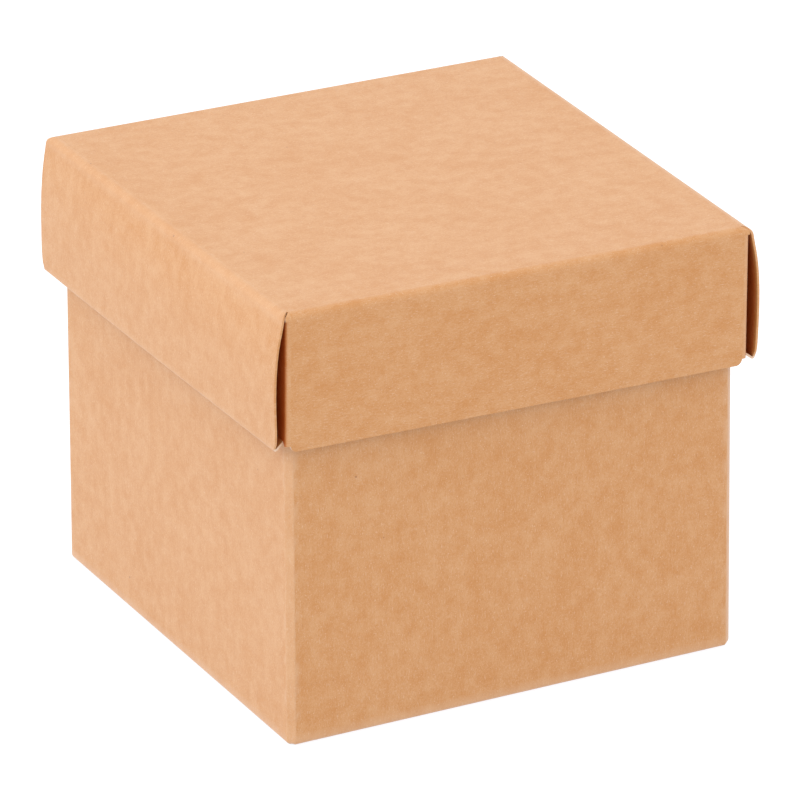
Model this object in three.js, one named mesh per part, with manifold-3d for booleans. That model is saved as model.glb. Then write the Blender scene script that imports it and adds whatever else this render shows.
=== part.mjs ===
// Cube gift box of brown kraft board: a deep square base with a folded, interlocked bottom,
// and a shallow lid with rolled side walls that drops over it and lifts straight off.
// Each of the two is cut, creased and folded from one sheet, so each is one solid.
// Millimetres, +Z up, origin on the underside in the middle of the base, front towards -Y.

import * as THREE from 'three';
import Module from 'manifold-3d';
import { mergeVertices } from 'three/addons/utils/BufferGeometryUtils.js';

const wasm = await Module();
wasm.setup();

// Board
const board = 0.45;            // thickness of the sheet
const layerGap = 0.08;         // air between two layers that lie on each other

// Base
const baseWidth = 100;         // outside, along X
const baseDepth = 100.6;       // outside, along Y
const baseHeight = 90;         // underside to rim
const uprightFold = 1.2;       // outer radius of the four upright folds
const seamFlap = 14;           // width of the glued seam flap, inside the rear wall
const seamFlapTaper = 6;       // how much shorter the seam flap is at its free edge, top and bottom
const seamShow = 1.4;          // how far the rear wall's cut edge stays inside the corner
const glueLine = 0.05;         // thickness of the glue film in the seam

// Bottom flaps of the base
const bottomFold = 1.1;        // outer radius where a wall turns into its bottom flap
const flapRelief = 1;          // how far each bottom fold stays clear of the box corner
const flapChamfer = 5;         // slanted cut beside each bottom fold
const flapRise = 6;            // length over which an upper flap climbs onto its layer
const frontFlap = 58;          // length of the front flap, the topmost layer
const rearFlap = 52.3;         // length of the rear flap up to its tongue, the lowest layer
const tongueWidth = 40;
const tongueRise = 5.5;        // length over which the tongue climbs through the notch
const tongueTip = 14;          // length of the tongue that lies on the front flap
const tongueTaper = 5;
const notchPlay = 2;           // room between the tongue and the notch, each side
const notchDepth = 16;
const middleGap = 5;           // slit left between the two side flaps
const sideFlapInset = 8;       // distance of the side flaps' front and rear edges from the walls
const sideFlapWing = 24;       // width of a side flap at its rear edge

// Lid
const sideClearance = 0.2;     // base to lid, left and right, once the lid sits askew
const endClearance = 2.45;     // base to lid, front and rear, with the lid level
const lidSkirt = 28.9;         // underside of the lid's top to the lower edge of its walls
const endFold = 1.5;           // outer radius of the folds along the front and rear of the top
const sideFold = 1.8;          // outer radius of the folds along the left and right of the top
const lidCornerFold = 1;       // outer radius where a front or rear wall turns into a corner flap
const cornerFlap = 30;         // length of a corner flap
const cornerFlapTaper = 7;
const cornerFlapTop = 1.4;     // cut away above a corner flap
const cornerFlapFoot = 1.8;    // cut away below a corner flap
const endWallCorner = 1.8;     // rounding of the lower corners of the front and rear walls
const rollFold = 1;            // outer radius of the two creases of a rolled wall's lower edge
const shoulderSpread = 0.66;   // a rolled wall's upper end beyond the corner flaps' outer face
const rollSpread = 2.4;        // a rolled wall's foot beyond the corner flaps' outer face
const wallBow = 1.15;          // how far a rolled wall bows out between its top fold and its foot
const rollWallTop = 1.6;       // gap above the inner leaf of a rolled wall
const rollLeafInset = 1;       // gap between the inner leaf's upright edges and the end walls
const rollLeafTaper = 4;
const shoulderRound = 0.6;     // a rolled wall's upper corners, beyond the radius of the end folds

// Seat of the lid on the base: pushed on a little askew, as a light loose lid sits
const seatGap = 0.25;
const lidTiltX = -1.22;        // degrees, rear side down
const lidTiltY = 1.43;         // degrees, right side down
const lidShiftY = 0.2;         // towards the rear

const foldSteps = 6;           // straight steps in a right-angled fold
const bowSteps = 12;           // straight steps down a bowed wall

const layer = board + layerGap;

// A vertex of a section: where the sheet's outer face turns, and the outer radius of the fold.
function turn(x, y, radius = 0) {
  return { at: new THREE.Vector2(x, y), radius };
}

// Left-hand normal of a direction.
function leftOf(direction) {
  return new THREE.Vector2(-direction.y, direction.x);
}

// Section of a folded sheet. The vertices run along one face, and the sheet lies to the left
// of that run. Folds are arcs of the given radius, and open vertices are mitred.
function sheetSection(turns) {
  const face = [];
  const back = [];
  const add = (point, normal, reach = board) => {
    face.push(point.clone());
    back.push(point.clone().addScaledVector(normal, reach));
  };
  const count = turns.length;
  const direction = (i) => turns[i + 1].at.clone().sub(turns[i].at).normalize();
  add(turns[0].at, leftOf(direction(0)));
  for (let i = 1; i < count - 1; i += 1) {
    const into = direction(i - 1);
    const out = direction(i);
    const angle = Math.atan2(into.cross(out), into.dot(out));
    const { at, radius } = turns[i];
    if (radius === 0) {
      const mean = leftOf(into).add(leftOf(out)).normalize();
      add(at, mean, board / Math.cos(angle / 2));
      continue;
    }
    const side = Math.sign(angle);
    const start = at.clone().addScaledVector(into, -radius * Math.tan(Math.abs(angle) / 2));
    const centre = start.clone().addScaledVector(leftOf(into), side * radius);
    const steps = Math.max(2, Math.round(foldSteps * Math.abs(angle) / (Math.PI / 2)));
    for (let s = 0; s <= steps; s += 1) {
      const spin = angle * s / steps;
      const point = start.clone().rotateAround(centre, spin);
      add(point, leftOf(into).rotateAround(new THREE.Vector2(), spin));
    }
  }
  add(turns[count - 1].at, leftOf(direction(count - 2)));
  return new THREE.Shape([...face, ...back.reverse()]);
}

// Frames for a drawn outline: its X and Y go to the first two named axes, and its thickness
// to the third.
const planes = {
  plan: new THREE.Matrix4(),
  frontView: new THREE.Matrix4().makeRotationX(Math.PI / 2),
  sideView: new THREE.Matrix4().makeBasis(
    new THREE.Vector3(0, 1, 0),
    new THREE.Vector3(0, 0, 1),
    new THREE.Vector3(1, 0, 0),
  ),
};

// Closed solid of a drawn outline between two distances along the plane's third axis.
// The third axis of plan is +Z, of sideView +X, and of frontView -Y.
function prism(shape, plane, from, to) {
  const geometry = new THREE.ExtrudeGeometry(shape, { depth: to - from, bevelEnabled: false });
  geometry.translate(0, 0, from);
  geometry.applyMatrix4(planes[plane]);
  return toSolid(geometry);
}

function toSolid(geometry) {
  geometry.deleteAttribute('normal');
  geometry.deleteAttribute('uv');
  const merged = mergeVertices(geometry);
  return new wasm.Manifold(new wasm.Mesh({
    numProp: 3,
    vertProperties: merged.attributes.position.array,
    triVerts: Uint32Array.from(merged.index.array),
  }));
}

function toGeometry(solid) {
  const { vertProperties, triVerts } = solid.getMesh();
  const geometry = new THREE.BufferGeometry();
  geometry.setAttribute('position', new THREE.BufferAttribute(vertProperties, 3));
  geometry.setIndex(new THREE.BufferAttribute(triVerts, 1));
  const faceted = geometry.toNonIndexed();
  faceted.computeVertexNormals();
  return faceted;
}

function join(solids) {
  return solids.reduce((whole, solid) => whole.add(solid));
}

// The same solid turned or mirrored. Mirroring swaps two corners of each triangle, so that
// the faces still point out.
function placed(solid, matrix) {
  const { vertProperties, triVerts } = solid.getMesh();
  const geometry = new THREE.BufferGeometry();
  geometry.setAttribute('position', new THREE.BufferAttribute(vertProperties, 3));
  geometry.setIndex(new THREE.BufferAttribute(triVerts, 1));
  geometry.applyMatrix4(matrix);
  if (matrix.determinant() < 0) {
    for (let i = 0; i < triVerts.length; i += 3) {
      const first = triVerts[i];
      triVerts[i] = triVerts[i + 1];
      triVerts[i + 1] = first;
    }
  }
  return toSolid(geometry);
}

function halfTurned(solid) {
  return placed(solid, new THREE.Matrix4().makeRotationZ(Math.PI));
}

function leftToRight(solid) {
  return placed(solid, new THREE.Matrix4().makeScale(-1, 1, 1));
}

function frontToRear(solid) {
  return placed(solid, new THREE.Matrix4().makeScale(1, -1, 1));
}

function outline(points) {
  return new THREE.Shape(points.map(([x, y]) => new THREE.Vector2(x, y)));
}

// Walls of the base: one strip that starts at the rear wall's cut edge, runs round the four
// walls and ends in the seam flap, which is glued to the inside of the rear wall.
function baseWalls() {
  const right = baseWidth / 2;
  const rear = baseDepth / 2;
  const foot = bottomFold + 3 * layer;
  const seamFace = rear - board - glueLine;
  const seamEdge = right - seamFlap;
  const strip = sheetSection([
    turn(right - seamShow, rear),
    turn(-right, rear, uprightFold),
    turn(-right, -rear, uprightFold),
    turn(right, -rear, uprightFold),
    turn(right, seamFace, uprightFold),
    turn(seamEdge, seamFace),
  ]);
  const slant = (from, to) => outline([
    [seamEdge - 1, from],
    [seamEdge + seamFlapTaper, from],
    [seamEdge - 1, to],
  ]);
  const inside = [glueLine / 2 + board - rear, seamFlap - rear];
  const lower = prism(slant(foot - 1, foot + seamFlapTaper), 'frontView', ...inside);
  const upper = prism(slant(baseHeight + 1, baseHeight - seamFlapTaper), 'frontView', ...inside);
  return prism(strip, 'plan', foot, baseHeight).subtract(lower).subtract(upper);
}

// Section of a wall's foot and its bottom flap: down the wall, round the fold, and up onto
// its layer. The wall's outer face is at -reach, and the flap runs towards the middle.
function bottomSection(reach, level, length) {
  const foot = bottomFold + 3 * layer;
  const turns = [turn(-reach, foot + board), turn(-reach, 0, bottomFold)];
  if (level > 0) {
    const start = -reach + bottomFold + flapRelief;
    turns.push(turn(start, 0));
    turns.push(turn(start + flapRise, level * layer));
  }
  turns.push(turn(-reach + length, level * layer));
  return sheetSection(turns);
}

// Front flap: folds in first and lies on top, with a notch for the rear flap's tongue.
function frontBottomFlap() {
  const front = baseDepth / 2;
  const half = baseWidth / 2 - uprightFold;
  const hinge = baseWidth / 2 - flapRelief - bottomFold;
  const width = hinge - flapChamfer;
  const notch = tongueWidth / 2 + notchPlay;
  const fold = -front + bottomFold;
  const edge = -front + frontFlap;
  const section = bottomSection(front, 2, frontFlap);
  const keep = outline([
    [-half, -front],
    [half, -front],
    [half, fold],
    [hinge, fold],
    [width, fold + flapChamfer],
    [width, edge],
    [notch, edge],
    [notch, edge - notchDepth],
    [-notch, edge - notchDepth],
    [-notch, edge],
    [-width, edge],
    [-width, fold + flapChamfer],
    [-hinge, fold],
    [-half, fold],
  ]);
  return prism(section, 'sideView', -half, half).intersect(prism(keep, 'plan', -1, baseHeight));
}

// Left flap: folds in second, and leaves the tongue's way free at its middle.
function leftBottomFlap() {
  const left = baseWidth / 2;
  const half = baseDepth / 2 - uprightFold;
  const hinge = baseDepth / 2 - flapRelief - bottomFold;
  const fold = -left + bottomFold;
  const inner = -middleGap / 2;
  const inset = baseDepth / 2 - sideFlapInset;
  const tongueSide = -tongueWidth / 2 - notchPlay;
  const notchFoot = -baseDepth / 2 + frontFlap - notchDepth - notchPlay;
  const wing = -left + sideFlapWing;
  const section = bottomSection(left, 1, left - middleGap / 2);
  const keep = outline([
    [-left, -half],
    [fold, -half],
    [fold, -hinge],
    [fold + flapChamfer, -inset],
    [inner, -inset],
    [inner, notchFoot],
    [tongueSide, notchFoot],
    [wing, inset],
    [fold + flapChamfer, inset],
    [fold, hinge],
    [fold, half],
    [-left, half],
  ]);
  const swept = prism(section, 'frontView', -half, half);
  return swept.intersect(prism(keep, 'plan', -1, baseHeight));
}

// Rear flap: folds in last, lies lowest, and tucks its tongue through the notch onto the
// front flap. It is drawn along -Y and then turned to the rear.
function rearBottomFlap() {
  const rear = baseDepth / 2;
  const half = baseWidth / 2 - uprightFold;
  const hinge = baseWidth / 2 - flapRelief - bottomFold;
  const width = hinge - flapChamfer;
  const fold = -rear + bottomFold;
  const edge = -rear + rearFlap;
  const tip = edge + tongueRise + tongueTip;
  const tongue = tongueWidth / 2;
  const section = sheetSection([
    turn(-rear, bottomFold + 3 * layer + board),
    turn(-rear, 0, bottomFold),
    turn(edge, 0),
    turn(edge + tongueRise, 3 * layer),
    turn(tip, 3 * layer),
  ]);
  const keep = outline([
    [-half, -rear],
    [half, -rear],
    [half, fold],
    [hinge, fold],
    [width, fold + flapChamfer],
    [width, edge],
    [tongue, edge],
    [tongue, tip - tongueTaper],
    [tongue - tongueTaper, tip],
    [tongueTaper - tongue, tip],
    [-tongue, tip - tongueTaper],
    [-tongue, edge],
    [-width, edge],
    [-width, fold + flapChamfer],
    [-hinge, fold],
    [-half, fold],
  ]);
  const swept = prism(section, 'sideView', -half, half);
  return halfTurned(swept.intersect(prism(keep, 'plan', -1, baseHeight)));
}

function makeBase() {
  const left = leftBottomFlap();
  const right = leftToRight(left);
  return join([baseWalls(), frontBottomFlap(), rearBottomFlap(), left, right]);
}

// Sizes of the lid that follow the base. The lid's own frame has its origin in the middle of
// the underside of its top, and its walls hang down from there.
const tiltX = THREE.MathUtils.degToRad(lidTiltX);
const tiltY = THREE.MathUtils.degToRad(lidTiltY);
const lean = lidSkirt * Math.tan(tiltY);                       // drift of a wall's foot, sideways
const leanRoom = Math.abs(lean) / 2;                           // what that drift takes on each side
const clearHalf = baseWidth / 2 + leanRoom + sideClearance;    // middle to a rolled wall's inner leaf
const flapFaceX = clearHalf + 2 * board + layerGap;            // outer face of a corner flap
const endFaceY = baseDepth / 2 + endClearance + board;         // outer face of a front or rear wall
const footX = flapFaceX + rollSpread;                          // outer face of a rolled wall's foot
const shoulderX = flapFaceX + shoulderSpread;                  // outer face under the top fold
const lidTop = board;

// Front wall, top and rear wall of the lid: one strip bent down at both ends.
function lidSpine() {
  const half = flapFaceX - lidCornerFold;
  const section = sheetSection([
    turn(endFaceY, -lidSkirt),
    turn(endFaceY, lidTop, endFold),
    turn(-endFaceY, lidTop, endFold),
    turn(-endFaceY, -lidSkirt),
  ]);
  const face = new THREE.Shape();
  face.moveTo(-half, lidTop);
  face.lineTo(-half, endWallCorner - lidSkirt);
  face.absarc(-half + endWallCorner, endWallCorner - lidSkirt, endWallCorner, Math.PI, 1.5 * Math.PI);
  face.absarc(half - endWallCorner, endWallCorner - lidSkirt, endWallCorner, 1.5 * Math.PI, 2 * Math.PI);
  face.lineTo(half, lidTop);
  const keep = prism(face, 'frontView', -endFaceY, endFaceY);
  return prism(section, 'sideView', -half, half).intersect(keep);
}

// Corner flap at the front right: the end of the front wall, turned back inside the rolled wall.
function lidCornerFlap() {
  const start = flapFaceX - lidCornerFold;
  const section = sheetSection([
    turn(start - board, -endFaceY),
    turn(flapFaceX, -endFaceY, lidCornerFold),
    turn(flapFaceX, -endFaceY + cornerFlap),
  ]);
  const foot = cornerFlapFoot - lidSkirt;
  const head = lidTop - cornerFlapTop;
  const tip = -endFaceY + cornerFlap;
  const face = outline([
    [-endFaceY, foot],
    [-endFaceY + lidCornerFold, foot],
    [tip, foot + cornerFlapTaper],
    [tip, head - cornerFlapTaper],
    [-endFaceY + lidCornerFold, head],
    [-endFaceY, head],
  ]);
  const keep = prism(face, 'sideView', 0, flapFaceX);
  return prism(section, 'plan', foot, head).intersect(keep);
}

// Right rolled wall: the outer leaf bows outwards, turns under over two creases, and the inner
// leaf comes back up inside the corner flaps.
function lidRolledWall() {
  const turns = [turn(flapFaceX - 2 * lidCornerFold, lidTop), turn(shoulderX, lidTop, sideFold)];
  const drop = lidSkirt + lidTop;
  for (let i = 1; i < bowSteps; i += 1) {
    const share = i / bowSteps;
    const bow = wallBow * Math.sin(Math.PI * share);
    const x = THREE.MathUtils.lerp(shoulderX, footX, share) + bow;
    const z = lidTop - sideFold - (drop - sideFold - rollFold) * share;
    turns.push(turn(x, z));
  }
  turns.push(turn(footX, -lidSkirt, rollFold));
  turns.push(turn(clearHalf, -lidSkirt, rollFold));
  turns.push(turn(clearHalf, -rollWallTop));
  const section = sheetSection(turns.reverse());
  const wall = prism(section, 'frontView', -endFaceY, endFaceY);
  return wall.intersect(lidSideOutline()).subtract(rollLeafTrim());
}

// Side view of a rolled wall: square at the foot, with its upper corners rounded a little more
// than the folds between the top and the end walls.
function lidSideOutline() {
  const face = new THREE.Shape();
  const round = endFold + shoulderRound;
  face.moveTo(-endFaceY, -lidSkirt);
  face.lineTo(endFaceY, -lidSkirt);
  face.absarc(endFaceY - round, lidTop - round, round, 0, Math.PI / 2);
  face.absarc(round - endFaceY, lidTop - round, round, Math.PI / 2, Math.PI);
  return prism(face, 'sideView', 0, footX + wallBow);
}

// What is cut from the inner leaf's ends, so that it clears the end walls and slides past the
// corner flaps' folds.
function rollLeafTrim() {
  const edge = endFaceY - board - rollLeafInset;
  const foot = rollFold - lidSkirt;
  const face = outline([
    [edge, foot],
    [endFaceY + 1, foot],
    [endFaceY + 1, -board],
    [edge - rollLeafTaper, -board],
    [edge - rollLeafTaper, -rollWallTop - rollLeafTaper],
  ]);
  const rear = prism(face, 'sideView', clearHalf - 1, clearHalf + board + layerGap / 2);
  return rear.add(frontToRear(rear));
}

function makeLid() {
  const wall = lidRolledWall();
  const flap = lidCornerFlap();
  const pair = flap.add(frontToRear(flap));
  return join([lidSpine(), wall, halfTurned(wall), pair, leftToRight(pair)]);
}

const kraftOutside = new THREE.MeshStandardMaterial({ color: '#d9a477', roughness: 0.9, metalness: 0 });
const kraftLid = new THREE.MeshStandardMaterial({ color: '#dca87c', roughness: 0.9, metalness: 0 });

function namedMesh(name, solid, material) {
  const mesh = new THREE.Mesh(toGeometry(solid), material);
  mesh.name = name;
  return mesh;
}

const base = namedMesh('box_base', makeBase(), kraftOutside);
const lid = namedMesh('box_lid', makeLid(), kraftLid);

// The lid's top comes down on the rim at the rear right corner of the base.
const dropX = baseWidth / 2 * Math.tan(Math.abs(tiltY));
const dropY = baseDepth / 2 * Math.tan(Math.abs(tiltX));
const lidSeat = new THREE.Group();
lidSeat.position.set(lean / 2, lidShiftY, baseHeight + seatGap + dropX + dropY);
lidSeat.rotation.set(tiltX, tiltY, 0);
lidSeat.add(lid);

const box = new THREE.Group();
box.add(base, lidSeat);

export default box;
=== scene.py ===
import math
import bmesh
import bpy
from mathutils import Matrix, Vector, noise


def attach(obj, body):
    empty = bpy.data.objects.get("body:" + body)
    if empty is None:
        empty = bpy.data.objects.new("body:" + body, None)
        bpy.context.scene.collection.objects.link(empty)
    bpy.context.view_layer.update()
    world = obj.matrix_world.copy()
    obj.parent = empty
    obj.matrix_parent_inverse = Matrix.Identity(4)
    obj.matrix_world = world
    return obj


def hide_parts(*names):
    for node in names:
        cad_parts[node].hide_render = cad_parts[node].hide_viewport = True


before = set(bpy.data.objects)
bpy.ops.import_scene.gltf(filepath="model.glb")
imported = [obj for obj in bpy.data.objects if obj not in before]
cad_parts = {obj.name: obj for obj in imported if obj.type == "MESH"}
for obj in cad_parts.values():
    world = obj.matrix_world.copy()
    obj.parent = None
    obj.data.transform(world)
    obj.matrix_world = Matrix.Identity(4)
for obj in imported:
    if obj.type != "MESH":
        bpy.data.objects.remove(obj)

scene = bpy.context.scene
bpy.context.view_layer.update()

# The studio: a plain white floor that runs out to a white surround, which gives most of the
# light, with one broad panel high at the left and another high in front.
# The floor gives light of its own, so hardly any shadow shows on it, and it is clear from below,
# so that the box's underside can be looked at.
MM = 0.001


def nodes_of(owner):
    owner.use_nodes = True
    tree = owner.node_tree
    tree.nodes.clear()
    return tree


def node(tree, kind, wires=(), **settings):
    made = tree.nodes.new(kind)
    for key, value in settings.items():
        setattr(made, key, value)
    for socket, source in dict(wires).items():
        if isinstance(source, bpy.types.NodeSocket):
            tree.links.new(source, made.inputs[socket])
        else:
            made.inputs[socket].default_value = source
    return made


def aim(thing, place, target, roll=0.0):
    away = Vector(place) - Vector(target)
    turn = away.to_track_quat("Z", "Y").to_matrix().to_4x4()
    thing.matrix_world = Matrix.Translation(place) @ turn @ Matrix.Rotation(roll, 4, "Z")


camera = bpy.data.objects.new("camera", bpy.data.cameras.new("camera"))
scene.collection.objects.link(camera)
scene.camera = camera
camera.data.sensor_width = 36
camera.data.lens = 537.7
camera.data.clip_start = 0.1
camera.data.clip_end = 50
BEARING, ELEVATION, ROLL = (math.radians(angle) for angle in (-27.134, 24.642, -0.318))
CAMERA_DISTANCE = 2.40031
looked_at = Vector((-5.738, -12.735, 51.261)) * MM
outward = Vector((
    math.sin(BEARING) * math.cos(ELEVATION),
    -math.cos(BEARING) * math.cos(ELEVATION),
    math.sin(ELEVATION),
))
aim(camera, looked_at + outward * CAMERA_DISTANCE, looked_at, ROLL)

FLOOR_REACH, FLOOR_GAP = 6.0, 0.05 * MM
floor_mesh = bpy.data.meshes.new("floor")
floor_mesh.from_pydata(
    [(x * FLOOR_REACH, y * FLOOR_REACH, 0) for x, y in ((-1, -1), (1, -1), (1, 1), (-1, 1))],
    [],
    [(0, 1, 2, 3)],
)
floor = bpy.data.objects.new("floor", floor_mesh)
floor.location.z = -FLOOR_GAP
scene.collection.objects.link(floor)
paper = bpy.data.materials.new("white_floor")
tree = nodes_of(paper)
white = node(tree, "ShaderNodeBsdfDiffuse", {"Color": (0.3, 0.3, 0.3, 1)})
glow = node(tree, "ShaderNodeEmission", {"Color": (0.97, 1.0, 1.05, 1), "Strength": 0.78})
lit = node(tree, "ShaderNodeAddShader", {0: white.outputs[0], 1: glow.outputs[0]})
clear = node(tree, "ShaderNodeBsdfTransparent")
side = node(tree, "ShaderNodeNewGeometry")
both = node(tree, "ShaderNodeMixShader", {
    0: side.outputs["Backfacing"],
    1: lit.outputs[0],
    2: clear.outputs[0],
})
node(tree, "ShaderNodeOutputMaterial", {"Surface": both.outputs[0]})
floor_mesh.materials.append(paper)

world = bpy.data.worlds.new("white_surround")
scene.world = world
tree = nodes_of(world)
sky = node(tree, "ShaderNodeBackground", {"Color": (0.98, 0.975, 0.96, 1), "Strength": 1.28})
backdrop = node(tree, "ShaderNodeBackground", {"Color": (1, 1, 1, 1), "Strength": 1.0})
ray = node(tree, "ShaderNodeLightPath")
seen = node(tree, "ShaderNodeMixShader", {
    0: ray.outputs["Is Camera Ray"],
    1: sky.outputs[0],
    2: backdrop.outputs[0],
})
node(tree, "ShaderNodeOutputWorld", {"Surface": seen.outputs[0]})
scene.view_settings.view_transform = "Standard"
scene.view_settings.look = "None"

box_middle = Vector((0, 0, 50)) * MM
for name, place, size, power, tint in (
    ("panel_left", (-1.62, 0.3, 1.36), 1.4, 23.0, (0.80, 0.87, 1.0)),
    ("panel_front", (-0.2, -1.9, 1.3), 1.0, 5.0, (1.0, 0.92, 0.84)),
):
    lamp = bpy.data.lights.new(name, "AREA")
    lamp.shape = "DISK"
    lamp.size = size
    lamp.energy = power
    lamp.color = tint
    holder = bpy.data.objects.new(name, lamp)
    scene.collection.objects.link(holder)
    aim(holder, Vector(place), box_middle)

# The base: one sheet of brown kraft board, creased and folded up into four walls, with a glued
# seam inside the rear right corner. Its four bottom flaps fold in and lock with a tongue.
# The board is uncoated, so its fibres, clouds and specks show, and its cut edges are pale.
BOARD, LAYER_GAP = 0.45, 0.08
LAYER = BOARD + LAYER_GAP
WIDTH, DEPTH, HEIGHT = 100.0, 100.6, 90.0
FLAT_CREASE = 1.28       # width that an upright fold takes from each wall
CREASE_ROUND = 0.5       # radius of the two creases beside its bevel
COLUMNS = 80             # cells across a wall
QUARTER = [math.pi / 2 * k / 6 for k in range(7)]
WELD = 0.004             # points nearer to each other than this are one
MITRE = 1.15             # how much thicker the board may be at a fold's corner
FRAY = 0.07              # how far a cut edge wanders
SLOT_FACE = 0.3          # a face with more painted slot shade than this gets the slots' shaded board


def folded_run(turns, step=1.6, fold_steps=6):
    """Stations down a folded sheet: each turn is (x, y, radius, low edge, high edge), and the
    stations are (x, y, low, high, distance along the sheet, 1 in a fold and 0 on a flat)."""
    groups = []
    for i, (x, y, radius, low, high) in enumerate(turns):
        here = Vector((x, y))
        if radius == 0 or i in (0, len(turns) - 1):
            groups.append([(here, low, high, 0.0)])
            continue
        into = (here - Vector(turns[i - 1][:2])).normalized()
        away = (Vector(turns[i + 1][:2]) - here).normalized()
        angle = math.atan2(into.cross(away), into.dot(away))
        side = math.copysign(1, angle)
        start = here - into * radius * math.tan(abs(angle) / 2)
        centre = start + Vector((-into.y, into.x)) * side * radius
        count = max(2, round(fold_steps * abs(angle) / (math.pi / 2)))
        group = []
        for k in range(count + 1):
            spoke = (start - centre).copy()
            spoke.rotate(Matrix.Rotation(angle * k / count, 2))
            group.append((centre + spoke, low, high, 1.0))
        groups.append(group)
    points = list(groups[0])
    for group in groups[1:]:
        last, first = points[-1], group[0]
        count = max(1, math.ceil((first[0] - last[0]).length / step))
        for k in range(1, count):
            part = k / count
            points.append((
                last[0].lerp(first[0], part),
                last[1] + (first[1] - last[1]) * part,
                last[2] + (first[2] - last[2]) * part,
                0.0,
            ))
        points.extend(group)
    stations, along = [], 0.0
    for k, (at, low, high, fold) in enumerate(points):
        if k:
            along += (at - points[k - 1][0]).length
        stations.append((at.x, at.y, low, high, along, fold))
    return stations


class Sheet:
    """Grids of points on the outer face of a folded sheet, with their places on the flat
    blank and how much of a crease each one is."""

    def __init__(self):
        self.points, self.flat, self.crease, self.faces = [], [], [], []
        self.shelter, self.rims = [], []

    def grid(self, rows, keep=None, shelter=None, rim=1):
        """rows hold (point, place on the blank, crease); keep(row, column) says which cells
        the sheet has; shelter(row, column) says how deep in a slot the outer and the inner
        face are there, which sets the painted shade they get; rim is the material of the grid's cut
        edges."""
        first, wide = len(self.points), len(rows[0])
        for r, row in enumerate(rows):
            for c, (point, flat, crease) in enumerate(row):
                self.points.append(point)
                self.flat.append(flat)
                self.crease.append(crease)
                self.shelter.append(shelter(r, c) if shelter else (0.0, 0.0))
        for r in range(len(rows) - 1):
            for c in range(wide - 1):
                if keep is None or keep(r, c):
                    a = first + r * wide + c
                    self.faces.append((a, a + 1, a + wide + 1, a + wide))
                    self.rims.append(rim)


def board_piece(name, sheet, warp, matrix, materials):
    """The sheet as a closed solid of even thickness. Its materials are those of its face, its
    cut edges and its slots, where a copy of the face without sheen and with little gloss gives
    painted shade. warp(point) is how far the sheet is out of true there."""
    mesh = bpy.data.meshes.new(name)
    mesh.from_pydata(sheet.points, [], sheet.faces)
    marks = mesh.attributes.new("crease", "FLOAT", "POINT")
    marks.data.foreach_set("value", sheet.crease)
    for mark, side in (("painted_slot_shade", 0), ("painted_slot_shade_inside", 1)):
        marks = mesh.attributes.new(mark, "FLOAT", "POINT")
        marks.data.foreach_set("value", [pair[side] for pair in sheet.shelter])
    blank = mesh.uv_layers.new(name="blank")
    for loop in mesh.loops:
        blank.data[loop.index].uv = sheet.flat[loop.vertex_index]
    bm = bmesh.new()
    bm.from_mesh(mesh)
    rim_finish = bm.faces.layers.int.new("rim_finish")
    bm.faces.ensure_lookup_table()
    for face, finish in zip(bm.faces, sheet.rims):
        face[rim_finish] = finish
    bmesh.ops.delete(bm, geom=[v for v in bm.verts if not v.link_faces], context="VERTS")
    bmesh.ops.remove_doubles(bm, verts=bm.verts, dist=WELD)
    bmesh.ops.recalc_face_normals(bm, faces=bm.faces)
    middle = sum((v.co for v in bm.verts), Vector()) / len(bm.verts)
    if sum(f.calc_area() * f.normal.dot(f.calc_center_median() - middle) for f in bm.faces) < 0:
        bmesh.ops.reverse_faces(bm, faces=bm.faces)
    bm.normal_update()
    crease = bm.verts.layers.float["crease"]
    painted_slot_shade = bm.verts.layers.float["painted_slot_shade"]
    painted_slot_shade_inside = bm.verts.layers.float["painted_slot_shade_inside"]
    for v in bm.verts:
        v.co += v.normal * warp(v.co)
        if v.is_boundary and v[crease] < 0.5:
            fray = noise.noise_vector(v.co * 0.9) * FRAY
            v.co += fray - v.normal * fray.dot(v.normal)
    bm.normal_update()
    uv = bm.loops.layers.uv["blank"]
    outer = list(bm.faces)
    rim = [e.link_loops[0] for e in bm.edges if e.is_boundary]
    back = {}
    for v in list(bm.verts):
        back[v] = bm.verts.new(v.co - v.normal * BOARD * min(MITRE, v.calc_shell_factor()))
        back[v][crease] = v[crease]
        back[v][painted_slot_shade] = v[painted_slot_shade_inside]
    for face in outer:
        corners = list(face.loops)
        inner = bm.faces.new([back[c.vert] for c in reversed(corners)])
        inner.smooth = face.smooth = True
        for corner, source in zip(inner.loops, reversed(corners)):
            corner[uv].uv = source[uv].uv
    for loop in rim:
        a, b = loop.vert, loop.link_loop_next.vert
        edge = bm.faces.new((b, a, back[a], back[b]))
        edge.material_index = loop.face[rim_finish]
        places = (loop.link_loop_next[uv].uv, loop[uv].uv)
        for corner, place in zip(edge.loops, (*places, places[1], places[0])):
            corner[uv].uv = place
        loop.edge.smooth = False
        bm.edges.get((back[a], back[b])).smooth = False
        edge.smooth = True
    # Faces deep in a slot take the shaded copy of the board, without sheen and with little gloss:
    # painted shade.
    for face in bm.faces:
        if sum(v[painted_slot_shade] for v in face.verts) > SLOT_FACE * len(face.verts):
            face.material_index = 2
    for v in bm.verts:
        v.co *= MM
    bm.to_mesh(mesh)
    bm.free()
    mesh.transform(matrix)
    for material in materials:
        mesh.materials.append(material)
    piece = bpy.data.objects.new(name, mesh)
    scene.collection.objects.link(piece)
    return piece


def group_of(name, inputs, outputs):
    tree = bpy.data.node_groups.new(name, "ShaderNodeTree")
    for socket, kind in inputs:
        tree.interface.new_socket(socket, in_out="INPUT", socket_type=kind)
    for socket, kind in outputs:
        tree.interface.new_socket(socket, in_out="OUTPUT", socket_type=kind)
    return tree, tree.nodes.new("NodeGroupInput").outputs


def cloud(tree, place, stretch, detail, rough=0.55, shift=(0, 0, 0)):
    """A noise of one value, with its scale along and across the board's grain."""
    spot = node(tree, "ShaderNodeMapping", {"Vector": place, "Scale": stretch, "Location": shift})
    look = {"Vector": spot.outputs[0], "Scale": 1.0, "Detail": detail, "Roughness": rough}
    return node(tree, "ShaderNodeTexNoise", look).outputs["Fac"]


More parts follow.
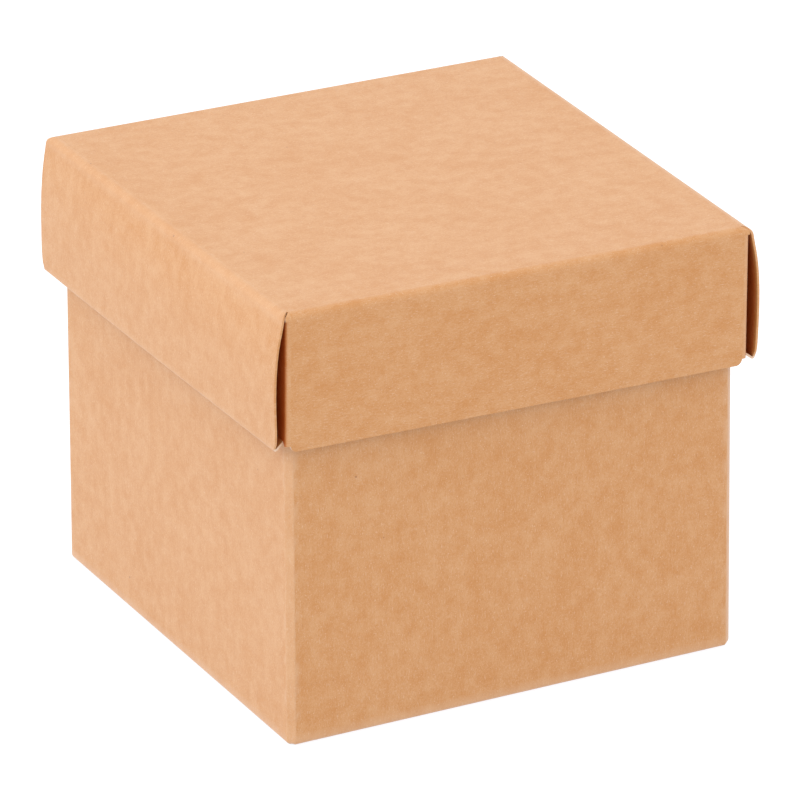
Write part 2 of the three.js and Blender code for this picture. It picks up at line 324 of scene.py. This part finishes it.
def ranged(tree, value, low, high, bottom=0.0, top=1.0):
    wires = {"Value": value, 1: low, 2: high, 3: bottom, 4: top}
    return node(tree, "ShaderNodeMapRange", wires).outputs[0]


def maths(tree, operation, a, b):
    return node(tree, "ShaderNodeMath", {0: a, 1: b}, operation=operation).outputs[0]


def tinted(tree, mask, below, above, blend="MIX"):
    mix = node(tree, "ShaderNodeMix", data_type="RGBA", blend_type=blend)
    for socket, source in ((0, mask), (6, below), (7, above)):
        if isinstance(source, bpy.types.NodeSocket):
            tree.links.new(source, mix.inputs[socket])
        else:
            mix.inputs[socket].default_value = source
    return mix.outputs[2]


fibres, given = group_of(
    "kraft_fibres",
    [("Blank", "NodeSocketVector"), ("Crease", "NodeSocketFloat"),
     ("Painted slot shade", "NodeSocketFloat"),
     ("Board", "NodeSocketColor"), ("Dense", "NodeSocketColor"),
     ("Dark fibre", "NodeSocketColor"), ("Pale fibre", "NodeSocketColor")],
    [("Color", "NodeSocketColor"), ("Height", "NodeSocketFloat")],
)
blank_at = given["Blank"]
flocs = cloud(fibres, blank_at, (0.27, 0.31, 1), 5.0, 0.6)
drift = cloud(fibres, blank_at, (0.05, 0.07, 1), 2.0, shift=(7, 3, 0))
streaks = cloud(fibres, blank_at, (0.16, 1.5, 1), 4.0, 0.62, (0, 40, 0))
grain = cloud(fibres, blank_at, (1.5, 2.6, 1), 3.0, 0.75, (5, 9, 0))
tooth = cloud(fibres, blank_at, (4.2, 5.6, 1), 2.0, 0.7, (15, 2, 0))
long_dark = cloud(fibres, blank_at, (0.9, 4.2, 1), 1.5, 0.5, (80, 20, 0))
cross_dark = cloud(fibres, blank_at, (3.6, 1.3, 1), 1.5, 0.5, (20, 70, 0))
long_pale = cloud(fibres, blank_at, (0.8, 4.6, 1), 1.5, 0.5, (30, 90, 0))
shade = maths(fibres, "ADD", ranged(fibres, flocs, 0.3, 0.7, -0.1, 0.76),
              ranged(fibres, drift, 0.35, 0.65, 0.0, 0.26))
shade = maths(fibres, "ADD", shade, ranged(fibres, streaks, 0.3, 0.7, -0.1, 0.16))
shade = maths(fibres, "ADD", shade, ranged(fibres, grain, 0.3, 0.7, -0.42, 0.42))
shade = maths(fibres, "ADD", shade, ranged(fibres, tooth, 0.3, 0.7, -0.4, 0.4))
tone = tinted(fibres, shade, given["Board"], given["Dense"])
dark = maths(fibres, "MAXIMUM", ranged(fibres, long_dark, 0.66, 0.8, 0.0, 0.4),
             ranged(fibres, cross_dark, 0.69, 0.82, 0.0, 0.4))
tone = tinted(fibres, dark, tone, given["Dark fibre"])
speck = cloud(fibres, blank_at, (2.9, 3.3, 1), 1.0, 0.5, (60, 33, 0))
pale = maths(fibres, "MAXIMUM", ranged(fibres, long_pale, 0.62, 0.78, 0.0, 0.6),
             ranged(fibres, speck, 0.63, 0.78, 0.0, 0.7))
tone = tinted(fibres, pale, tone, given["Pale fibre"])
rare = node(fibres, "ShaderNodeTexVoronoi", {"Vector": blank_at, "Scale": 0.12})
chosen = node(fibres, "ShaderNodeSeparateColor", {0: rare.outputs["Color"]}).outputs[0]
fleck = maths(fibres, "MULTIPLY", ranged(fibres, rare.outputs["Distance"], 0.02, 0.035, 1.0, 0.0),
              ranged(fibres, chosen, 0.6, 0.62))
tone = tinted(fibres, maths(fibres, "MULTIPLY", fleck, 0.75), tone, given["Dark fibre"])
# Folds painted pale along the crease marks: part rubbed wear, part painted highlight.
rubbed_and_highlight = maths(fibres, "MULTIPLY", given["Crease"], ranged(fibres, grain, 0.35, 0.7, 0.1, 0.5))
tone = tinted(fibres, rubbed_and_highlight, tone, given["Pale fibre"])
# Painted shade: the board is darkened towards a deep brown the further it lies in a slot.
PAINTED_SLOT_SHADE = (0.85, 0.36, 0.15, 1)
tone = tinted(fibres, given["Painted slot shade"], tone, PAINTED_SLOT_SHADE, "MULTIPLY")
height = maths(fibres, "ADD", maths(fibres, "MULTIPLY", grain, 0.5),
               maths(fibres, "MULTIPLY", tooth, 0.4))
node(fibres, "NodeGroupOutput", {"Color": tone, "Height": height})


def board_material(name, board, dense, dark_fibre, pale_fibre, gloss=0.8, bloom=0.2):
    material = bpy.data.materials.new(name)
    tree = nodes_of(material)
    at = node(tree, "ShaderNodeUVMap", uv_map="blank").outputs[0]
    crease = node(tree, "ShaderNodeAttribute", attribute_name="crease").outputs["Fac"]
    painted_slot_shade = node(tree, "ShaderNodeAttribute", attribute_name="painted_slot_shade").outputs["Fac"]
    kraft = node(tree, "ShaderNodeGroup", node_tree=fibres)
    tree.links.new(at, kraft.inputs["Blank"])
    tree.links.new(crease, kraft.inputs["Crease"])
    tree.links.new(painted_slot_shade, kraft.inputs["Painted slot shade"])
    for socket, colour in (("Board", board), ("Dense", dense), ("Dark fibre", dark_fibre),
                           ("Pale fibre", pale_fibre)):
        kraft.inputs[socket].default_value = (*colour, 1)
    bump = node(tree, "ShaderNodeBump", {
        "Height": kraft.outputs["Height"],
        "Strength": 0.35,
        "Distance": 0.12 * MM,
    })
    skin = node(tree, "ShaderNodeBsdfPrincipled", {
        "Base Color": kraft.outputs["Color"],
        "Roughness": 0.55,
        "Specular IOR Level": gloss,
        "Sheen Weight": bloom,
        "Sheen Roughness": 0.45,
        "Normal": bump.outputs[0],
    })
    node(tree, "ShaderNodeOutputMaterial", {"Surface": skin.outputs[0]})
    return material


KRAFT = {
    "board": (0.515, 0.255, 0.095),
    "dense": (0.450, 0.178, 0.030),
    "dark_fibre": (0.23, 0.075, 0.016),
    "pale_fibre": (0.60, 0.39, 0.25),
}
face_board = board_material("kraft_face", **KRAFT)
core_board = board_material(
    "kraft_cut_edge",
    board=(0.61, 0.42, 0.29),
    dense=(0.50, 0.29, 0.16),
    dark_fibre=(0.36, 0.19, 0.10),
    pale_fibre=(0.70, 0.56, 0.44),
)

FOLD, FOLD_EDGE = 1.1, 0.6           # radius of a bottom fold, and the flat beside it
RELIEF, RISE, CHAMFER = 1.0, 6.0, 5.0
TONGUE_HALF, NOTCH_PLAY = 20.0, 2.0
half_w, half_d = WIDTH / 2, DEPTH / 2
crease_end = FLAT_CREASE + CREASE_ROUND * math.tan(math.pi / 8)
flat_w, flat_d = half_w - crease_end, half_d - crease_end
flap_half = half_w - FOLD - RELIEF - CHAMFER
notch_half = TONGUE_HALF + NOTCH_PLAY
foot = FOLD + 3 * LAYER
spots = {k * 2 / COLUMNS - 1 for k in range(COLUMNS + 1)}
for edge in (TONGUE_HALF / flap_half, notch_half / flap_half):
    near = min(spots, key=lambda spot: abs(spot - edge))
    spots -= {near, -near}
    spots |= {edge, -edge}
spots = sorted(spots)

base = Sheet()
SEAM_FLAP, SEAM_LEVEL, SEAM_TAPER = 14.0, 3.0, 6.0
SEAM_SHOW, SEAM_FOLD, GLUE = 1.4, 0.9, 0.05
WALL_PITCH = 101.0       # from one wall's start to the next one's on the blank
walls = (  # middle of the wall, direction along it, half its flat, start on the blank
    ((0, half_d), (-1, 0), flat_w, 0.0),
    ((-half_w, 0), (0, -1), flat_d, WALL_PITCH),
    ((0, -half_d), (1, 0), flat_w, 2 * WALL_PITCH),
    ((half_w, 0), (0, 1), flat_d, 3 * WALL_PITCH),
)
rows_up = 48
levels = [foot + (HEIGHT - foot) * k / rows_up for k in range(rows_up + 1)]
for k, (middle, along, flat, start) in enumerate(walls):
    rows = []
    for z in levels:
        row = []
        for spot in spots:
            reach = spot * flat
            if k == 0:
                reach = max(reach, -(half_w - SEAM_SHOW))
            x, y = middle[0] + along[0] * reach, middle[1] + along[1] * reach
            row.append(((x, y, z), (z, start + half_w + reach), 0.0))
        rows.append(row)
    base.grid(rows)


def strip(stations, start, steps=rows_up):
    """A band of wall that goes round a fold, or the seam flap."""
    rows = []
    for i in range(steps + 1):
        row = []
        for x, y, low, high, along, fold in stations:
            z = low + (high - low) * i / steps
            row.append(((x, y, z), (z, start + along), fold))
        rows.append(row)
    base.grid(rows)


for k, (sx, sy) in enumerate(((-1, 1), (-1, -1), (1, -1))):
    (ax, ay), (bx, by) = walls[k][1], walls[k + 1][1]
    cx, cy, start = sx * half_w, sy * half_d, k * WALL_PITCH + WIDTH
    ends = [(cx - ax * cut, cy - ay * cut) for cut in (crease_end, FLAT_CREASE)]
    ends += [(cx + bx * cut, cy + by * cut) for cut in (FLAT_CREASE, crease_end)]
    rounds = (0, CREASE_ROUND, CREASE_ROUND, 0)
    turns = [(*end, radius, foot, HEIGHT) for end, radius in zip(ends, rounds)]
    corner = folded_run(turns, fold_steps=12)
    strip(corner, start)
    # Below the walls, the corner follows the bottom folds half way round, and ends there.
    rows = [[((x, y, foot), (foot, start + along), fold) for x, y, _, _, along, fold in corner]]
    for turn in QUARTER[:4]:
        row = []
        for i, (x, y, _, _, along, fold) in enumerate(corner):
            before, after = corner[max(i - 1, 0)], corner[min(i + 1, len(corner) - 1)]
            if i < 2:
                before, after = ends[0], ends[1]
            elif i > len(corner) - 3:
                before, after = ends[2], ends[3]
            run = Vector((after[0] - before[0], after[1] - before[1])).normalized()
            inset = FOLD * (1 - math.cos(turn))
            at = (x - run.y * inset, y + run.x * inset, FOLD * (1 - math.sin(turn)))
            row.append((at, (FOLD - FOLD * turn, start + along), fold))
        rows.append(row)
    base.grid(rows)
seam_face, seam_start = half_d - BOARD - GLUE, 3 * WALL_PITCH + WIDTH
turns = [
    (half_w, flat_d, 0, foot, HEIGHT),
    (half_w, seam_face, SEAM_FOLD, foot, HEIGHT),
    (half_w - SEAM_LEVEL, seam_face, 0, foot, HEIGHT),
    (half_w - SEAM_FLAP, seam_face, 0, foot + SEAM_TAPER, HEIGHT - SEAM_TAPER),
]
strip(folded_run(turns, fold_steps=8), seam_start)
lower = [(*turn[:3], FOLD, foot) for turn in turns[:3]]
strip(folded_run(lower, fold_steps=8), seam_start, 1)


def bottom_flap(wall, turns, keep=None):
    """A flap that turns in under the box from the foot of a wall. Its turns are distances
    from the middle of the box and heights, and it is as wide as they say."""
    (mx, my), (ax, ay), flat, start = walls[wall]
    inward = Vector((-mx, -my)).normalized()
    reach = Vector((mx, my)).length
    rows, middles = [], []
    for run, z, low, high, along, fold in folded_run(turns):
        row = []
        for spot in spots:
            across = low + (high - low) * (spot + 1) / 2
            x = mx + inward.x * (run + reach) + ax * across
            y = my + inward.y * (run + reach) + ay * across
            row.append(((x, y, z), (foot - along, start + half_w + across), fold))
        rows.append(row)
        middles.append(run)

    def cells(r, c):
        run = (middles[r] + middles[r + 1]) / 2
        return keep(run, (spots[c] + spots[c + 1]) / 2 * flap_half)

    base.grid(rows, cells if keep else None)


def flap_start(reach, flat, level, width):
    """The wall's foot, the fold, and the climb onto the flap's layer."""
    hinge = width + CHAMFER
    begin = -reach + FOLD + RELIEF
    turns = [
        (-reach, foot, 0, -flat, flat),
        (-reach, 0, FOLD, -flat, flat),
        (-reach + FOLD + FOLD_EDGE, 0, 0, -hinge, hinge),
        (begin, 0, 0, RELIEF - hinge, hinge - RELIEF),
    ]
    if level:
        part = min(1, (CHAMFER - RELIEF) / RISE)
        turns.append((begin + RISE * part, level * LAYER * part, 0, -width, width))
        turns.append((begin + RISE, level * LAYER, 0, -width, width))
    else:
        turns.append((-reach + FOLD + CHAMFER, 0, 0, -width, width))
    return turns


FRONT_FLAP, NOTCH_DEPTH = 58.0, 16.0
z = 2 * LAYER
front_edge = FRONT_FLAP - half_d
notch_end = front_edge - NOTCH_DEPTH
turns = flap_start(half_d, flat_w, 2, flap_half)
turns += [(run, z, 0, -flap_half, flap_half) for run in (notch_end, front_edge)]
bottom_flap(2, turns, lambda run, across: run < notch_end or abs(across) > notch_half)

REAR_FLAP, TONGUE_RISE, TONGUE_TIP, TONGUE_TAPER = 52.3, 5.5, 14.0, 5.0
z = 3 * LAYER
rear_edge = REAR_FLAP - half_d
tongue_end = rear_edge + TONGUE_RISE + TONGUE_TIP
tip = flap_half * (TONGUE_HALF - TONGUE_TAPER) / TONGUE_HALF
turns = flap_start(half_d, flat_w, 0, flap_half)
turns += [
    (rear_edge, 0, 0, -flap_half, flap_half),
    (rear_edge + TONGUE_RISE, z, 0, -flap_half, flap_half),
    (tongue_end - TONGUE_TAPER, z, 0, -flap_half, flap_half),
    (tongue_end, z, 0, -tip, tip),
]
bottom_flap(0, turns, lambda run, across: run < rear_edge or abs(across) < TONGUE_HALF)

SIDE_INSET, SIDE_WING, SIDE_SLANT, MIDDLE_GAP = 8.0, 24.0, 4.0, 5.0
side_half = half_d - SIDE_INSET
wing_end = SIDE_WING - half_w
notch_foot = notch_end - NOTCH_PLAY
for wall, sign in ((1, -1), (3, 1)):
    turns = flap_start(half_w, flat_d, 1, side_half)
    for run, back in (
        (wing_end, side_half),
        (wing_end + SIDE_SLANT, notch_foot),
        (-MIDDLE_GAP / 2, notch_foot),
    ):
        low, high = sorted((-sign * side_half, sign * back))
        turns.append((run, LAYER, 0, low, high))
    bottom_flap(wall, turns)

WALL_HOLLOW, WALL_UNEVEN, STIFF_RIM = 0.16, 0.14, 8.0


def base_warp(at):
    """The walls bow in a little between their stiff folds and rims."""
    x, y, z = at
    across, out = sorted((abs(x) / half_w, abs(y) / half_d))
    if out < 0.985 or not foot + 1 <= z < HEIGHT - STIFF_RIM:
        return 0.0
    calm = max(0.0, 1 - across ** 4) * math.sin(math.pi * z / (HEIGHT - STIFF_RIM))
    ripple = noise.noise(Vector((x * 0.03, y * 0.03, z * 0.035 + 4)))
    return -calm * (WALL_HOLLOW + WALL_UNEVEN * ripple)


base_piece = board_piece(
    "base_sheet", base, base_warp, Matrix.Identity(4), (face_board, core_board)
)
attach(base_piece, "base")
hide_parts("box_base")

# The lid: a second sheet, with plain walls bent down at the front and rear, their ends turned
# back as corner flaps, and rolled side walls that fold round those flaps and spring outwards.
# It is pushed down over the base, and sits a little askew on it.
TILT_X, TILT_Y = math.radians(-1.22), math.radians(1.43)
SKIRT = 28.9
SIDE_CLEARANCE, END_CLEARANCE, SEAT_GAP, SHIFT_Y = 0.2, 2.45, 0.25, 0.2
SHOULDER_SPREAD, TIP_SPREAD = 0.66, 2.25         # past the corner flaps' outer face
SIDE_FOLD, END_FOLD, ROLL_FOLD, CORNER_FOLD = 1.8, 1.5, 1.0, 0.7
END_RUB_AND_HIGHLIGHT, SIDE_RUB_AND_HIGHLIGHT = 0.1, 0.5                     # how far the folds are painted pale: part rubbed wear, part painted highlight
WALL_CORNER = 1.3        # rounding of the end walls' lower corners
WALL_ROWS = 24
BLANK = 600              # where the lid's sheet lies on the board, clear of the base's
lean = SKIRT * math.tan(TILT_Y)
leaf_face = half_w + lean / 2 + SIDE_CLEARANCE
flap_face = leaf_face + 2 * BOARD + LAYER_GAP
end_face = half_d + END_CLEARANCE + BOARD
shoulder, roll_tip = flap_face + SHOULDER_SPREAD, flap_face + TIP_SPREAD
panel_half = shoulder - SIDE_FOLD
corner_round = END_FOLD + 0.1

lid = Sheet()
across = [panel_half * (k * 2 / COLUMNS - 1) for k in range(COLUMNS + 1)]
down = [k / WALL_ROWS for k in range(WALL_ROWS + 1)]
wall_top, wall_low = BOARD - END_FOLD, WALL_CORNER - SKIRT
run_y = []
for turn in QUARTER:
    run_y.append((
        end_face - END_FOLD + END_FOLD * math.cos(turn),
        BOARD - END_FOLD + END_FOLD * math.sin(turn),
        END_RUB_AND_HIGHLIGHT,
    ))
panel_y = [(end_face - corner_round) * (1 - k * 2 / COLUMNS) for k in range(COLUMNS + 1)]
top_run = [(end_face, wall_top + (wall_low - wall_top) * (1 - part), 0.0) for part in down[:-1]]
top_run += run_y
top_run += [(y, BOARD, 0.0) for y in panel_y]
top_run += [(-y, z, fold) for y, z, fold in reversed(run_y)]
top_run += [(-end_face, wall_top + (wall_low - wall_top) * part, 0.0) for part in down[1:]]
rows, along = [], 0.0
for k, (y, z, fold) in enumerate(top_run):
    if k:
        along += math.hypot(y - top_run[k - 1][0], z - top_run[k - 1][1])
    rows.append([((x, y, z), (x + BLANK, along + BLANK), fold) for x in across])
lid.grid(rows)
for sy in (-1, 1):
    rows = []
    v = BLANK if sy > 0 else BLANK + along
    for turn in QUARTER:
        z = wall_low - WALL_CORNER * math.sin(turn)
        wide = panel_half - WALL_CORNER * (1 - math.cos(turn))
        rows.append([
            ((x * wide / panel_half, sy * end_face, z), (x + BLANK, v + sy * (z - wall_low)), 0.0)
            for x in across
        ])
    lid.grid(rows)

CORNER_FLAP, CORNER_TAPER, CORNER_CUT, SLOT_LIP = 30.0, 7.0, 0.8, 0.8
# The right-hand corner folds are painted paler than the left: part rubbed wear, part painted
# highlight.
CORNER_RUB_AND_HIGHLIGHT = {-1: 0.2, 1: 0.7}
FLAP_PLACE, FLAP_TALL = 200, 26                  # where the corner flaps lie on the board
EAR_GAP = 0.5            # slit left beside the ears of the end folds
for sx in (-1, 1):
    for sy in (-1, 1):
        turns = [
            (panel_half, -end_face, 0, wall_low, wall_top),
            (flap_face, -end_face, CORNER_FOLD, wall_low, wall_top),
            (flap_face, CORNER_FOLD + 0.5 - end_face, 0, wall_low + CORNER_CUT, wall_top),
            (flap_face, CORNER_FLAP - end_face, 0,
             wall_low + CORNER_TAPER, wall_top - CORNER_TAPER),
        ]
        rows = []
        run = folded_run(turns, fold_steps=8)
        for x, y, low, high, along_flap, fold in run:
            row = []
            for part in down:
                z = high + (low - high) * part
                spot = BLANK + part * FLAP_TALL + sy * FLAP_PLACE
                place = (BLANK + sx * (panel_half + along_flap), spot)
                row.append(((sx * x, -sy * y, z), place, fold * CORNER_RUB_AND_HIGHLIGHT[sx]))
            rows.append(row)
        # How far each station lies into the slot, over SLOT_LIP, sets the painted shade of both
        # faces.
        depths = [min(1.0, max(0.0, y + end_face) / SLOT_LIP) for _, y, *_ in run]
        lid.grid(rows, shelter=lambda r, c: (depths[r], depths[r]))
        rows = []
        for k, (y, z, fold) in enumerate(reversed(run_y)):
            ear = (panel_half, panel_half + (shoulder - EAR_GAP - panel_half) * min(1.0, k / 4))
            rows.append([((sx * x, sy * y, z), (BLANK + sx * x, BLANK + k / 4), fold) for x in ear])
        lid.grid(rows)

BOW, BOW_STEPS = 1.2, 24
ROLL_FOOT = 1.6          # height of the roll's foot, where its cut edge shows pale
TIP_FOLD, TIP_INSET, LEAF_RISE, LEAF_BEND = 0.5, 0.9, 2.4, 1.3
LEAF_TOP, LEAF_TAPER, LEAF_INSET = 1.6, 4.0, 1.0
REAR_HELD = 0.3          # share of the bow that the walls lose towards the rear
drop, leaf_cut = SKIRT + BOARD, BOARD + LEAF_INSET
turns = [
    (panel_half, BOARD, 0, 0, 1),
    (shoulder, BOARD, SIDE_FOLD, 0, 1),
]
for k in range(2, BOW_STEPS):
    part = k / BOW_STEPS
    turns.append((
        shoulder + (roll_tip - shoulder) * part + BOW * math.sin(math.pi * part ** 0.7),
        BOARD - SIDE_FOLD - (drop - SIDE_FOLD - ROLL_FOLD) * part,
        0, max(0.0, part - 0.86) ** 2 * 30, 1,
    ))
turns += [
    (roll_tip, -SKIRT, TIP_FOLD, TIP_INSET, 1),
    (leaf_face, LEAF_RISE - SKIRT, ROLL_FOLD, LEAF_BEND, 1),
    (leaf_face, LEAF_RISE + 2 - SKIRT, 0, leaf_cut, 1),
    (leaf_face, -LEAF_TOP - LEAF_TAPER, 0, leaf_cut, 1),
    (leaf_face, -LEAF_TOP, 0, leaf_cut + LEAF_TAPER, 1),
]
for sx in (-1, 1):
    rows = []
    for x, z, pulled_in, _, along_wall, fold in folded_run(turns, fold_steps=8):
        wide = end_face - pulled_in
        fallen = max(0.0, BOARD - z)
        if fallen < corner_round and pulled_in == 0:
            wide -= corner_round - math.sqrt(corner_round ** 2 - (corner_round - fallen) ** 2)
        row = []
        for y in panel_y:
            spot = y / panel_y[0]
            place = (BLANK + sx * (panel_half + along_wall), BLANK + along / 2 - spot * wide)
            held_in = max(0.0, x - shoulder) * REAR_HELD * max(0.0, spot) ** 1.5
            row.append(((sx * (x - held_in), spot * wide, z), place, fold * SIDE_RUB_AND_HIGHLIGHT))
        rows.append(row)
    # Painted shade on the rolled wall's inner face, except at its two ends.
    near_ends = {0: 0.0, 1: 0.8, COLUMNS - 1: 0.8, COLUMNS: 0.0}
    foot_row = next(i for i, row in enumerate(rows) if row[0][0][2] < ROLL_FOOT - SKIRT)
    for part_rows, rim in ((rows[:foot_row + 1], 0), (rows[foot_row:], 1)):
        lid.grid(part_rows, shelter=lambda r, c: (0.0, near_ends.get(c, 1.0)), rim=rim)


TOP_HOLLOW, TOP_UNEVEN = 0.12, 0.12


def lid_warp(at):
    """The top is a little hollow between its stiff folds."""
    x, y, z = at
    if z <= BOARD - 0.01:
        return 0.0
    ripple = noise.noise(Vector((x * 0.02, y * 0.02, z * 0.05 + 9)))
    calm = max(0, 1 - (x / panel_half) ** 4) * max(0, 1 - (y / panel_y[0]) ** 4)
    return -calm * (TOP_HOLLOW + TOP_UNEVEN * ripple)


seat = Vector((
    lean / 2,
    SHIFT_Y,
    HEIGHT + SEAT_GAP + half_w * math.tan(abs(TILT_Y)) + half_d * math.tan(abs(TILT_X)),
))
askew = Matrix.Translation(seat * MM)
askew @= Matrix.Rotation(TILT_X, 4, "X") @ Matrix.Rotation(TILT_Y, 4, "Y")
# A copy of the face board without sheen and with little gloss, for painted shade deep in the slots.
slot_shaded_board = board_material("kraft_slot_painted_shade", **KRAFT, gloss=0.2, bloom=0.0)
lid_piece = board_piece(
    "lid_sheet", lid, lid_warp, askew, (face_board, core_board, slot_shaded_board)
)
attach(lid_piece, "lid")
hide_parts("box_lid")

bpy.context.view_layer.update()
